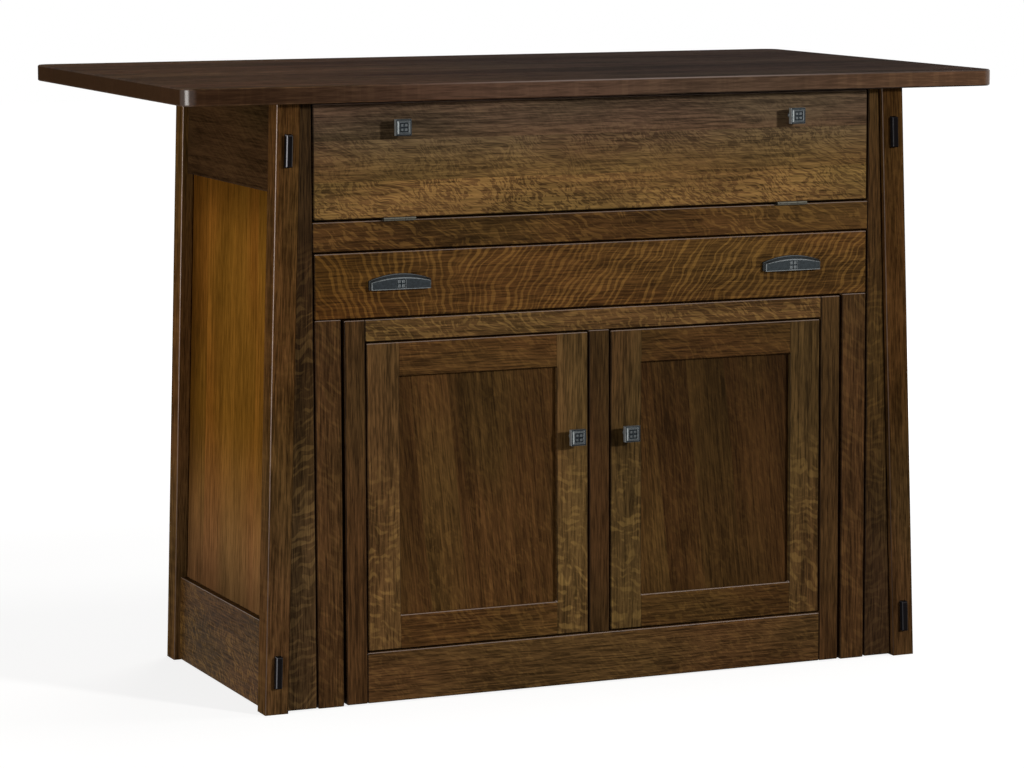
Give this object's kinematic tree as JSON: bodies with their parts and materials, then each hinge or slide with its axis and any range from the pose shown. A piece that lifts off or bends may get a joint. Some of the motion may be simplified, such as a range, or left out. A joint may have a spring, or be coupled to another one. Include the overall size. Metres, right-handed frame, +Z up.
{
  "type": "kitchen island",
  "caption": "Free-standing oak kitchen island with leaning posts, a seating overhang, a drop-front leaf bay, a pull-out table on legs and a cupboard with framed doors.",
  "frame": {"origin": "on the floor, under the centre of the worktop's outline", "axes": "+X to the right of someone facing the front, +Y to the back, which is the seating side, +Z up; the front faces -Y"},
  "size_m": [1.31, 0.768, 0.914],
  "materials": {
    "oak": "quarter-sawn oak, medium-dark stain, satin lacquer",
    "dark_oak": "oak, dark red-brown stain, satin lacquer",
    "panel_oak": "oak panel, warm amber-brown stain, satin lacquer",
    "inner_oak": "lighter oak and oak-veneered board, clear lacquer",
    "hardware": "dark antique finish, edges rubbed pale",
    "steel": "plated steel"
  },
  "bodies": {
    "cabinet": {"top_slab": "dark_oak", "front_left_post": "oak", "front_right_post": "oak", "back_left_post": "oak", "back_right_post": "oak", "left_side_top_rail": "oak", "left_side_bottom_rail": "oak", "left_side_panel": "panel_oak", "right_side_top_rail": "oak", "right_side_bottom_rail": "oak", "right_side_panel": "panel_oak", "back_top_rail": "oak", "back_bottom_rail": "oak", "back_panel": "panel_oak", "left_outer_stile": "oak", "right_outer_stile": "oak", "middle_rail": "oak", "door_frame_left_stile": "oak", "door_frame_right_stile": "oak", "door_frame_top_rail": "oak", "door_frame_bottom_rail": "oak", "door_frame_mullion": "oak", "leaf_bay_floor": "inner_oak", "left_inner_side": "inner_oak", "right_inner_side": "inner_oak", "cupboard_top": "inner_oak", "cupboard_bottom": "inner_oak", "cupboard_shelf": "inner_oak", "left_partition": "inner_oak", "right_partition": "inner_oak", "table_leaf_1": "dark_oak", "table_leaf_2": "dark_oak", "left_slide_fixed": "inner_oak", "right_slide_fixed": "inner_oak", "flap_left_hinge_fixed_leaf": "hardware", "flap_right_hinge_fixed_leaf": "hardware", "left_door_lower_hinge_arm": "steel", "left_door_upper_hinge_arm": "steel", "right_door_lower_hinge_arm": "steel", "right_door_upper_hinge_arm": "steel"},
    "flap": {"flap_board": "oak", "flap_left_knob": "hardware", "flap_right_knob": "hardware", "flap_left_hinge_moving_leaf": "hardware", "flap_right_hinge_moving_leaf": "hardware"},
    "table": {"table_apron": "oak", "table_left_leg": "oak", "table_right_leg": "oak", "table_left_pull": "hardware", "table_right_pull": "hardware", "left_slide_table": "inner_oak", "right_slide_table": "inner_oak"},
    "left_slide": {"left_slide_middle": "inner_oak"},
    "right_slide": {"right_slide_middle": "inner_oak"},
    "left_door": {"left_door_frame": "oak", "left_door_panel": "panel_oak", "left_door_knob": "hardware"},
    "right_door": {"right_door_frame": "oak", "right_door_panel": "panel_oak", "right_door_knob": "hardware"}
  },
  "joints": [
    {"name": "flap_drop", "type": "hinge", "parent": "cabinet", "child": "flap", "pos_m": [0, -0.3513, 0.7165], "axis": [1, 0, 0], "range_deg": [0, 90]},
    {"name": "table_slide", "type": "slide", "parent": "cabinet", "child": "table", "axis": [0, -1, 0], "range_m": [0, 0.523]},
    {"name": "left_slide_run", "type": "slide", "parent": "cabinet", "child": "left_slide", "axis": [0, -1, 0], "range_m": [0, 0.2615]},
    {"name": "right_slide_run", "type": "slide", "parent": "cabinet", "child": "right_slide", "axis": [0, -1, 0], "range_m": [0, 0.2615]},
    {"name": "left_door_swing", "type": "hinge", "parent": "cabinet", "child": "left_door", "pos_m": [-0.3705, -0.348, 0.308], "axis": [0, 0, -1], "range_deg": [0, 95]},
    {"name": "right_door_swing", "type": "hinge", "parent": "cabinet", "child": "right_door", "pos_m": [0.3705, -0.348, 0.308], "axis": [0, 0, 1], "range_deg": [0, 95]}
  ],
  "couplings": [
    {"joint": "left_slide_run", "follows": "table_slide", "ratio": 0.5},
    {"joint": "right_slide_run", "follows": "table_slide", "ratio": 0.5}
  ]
}
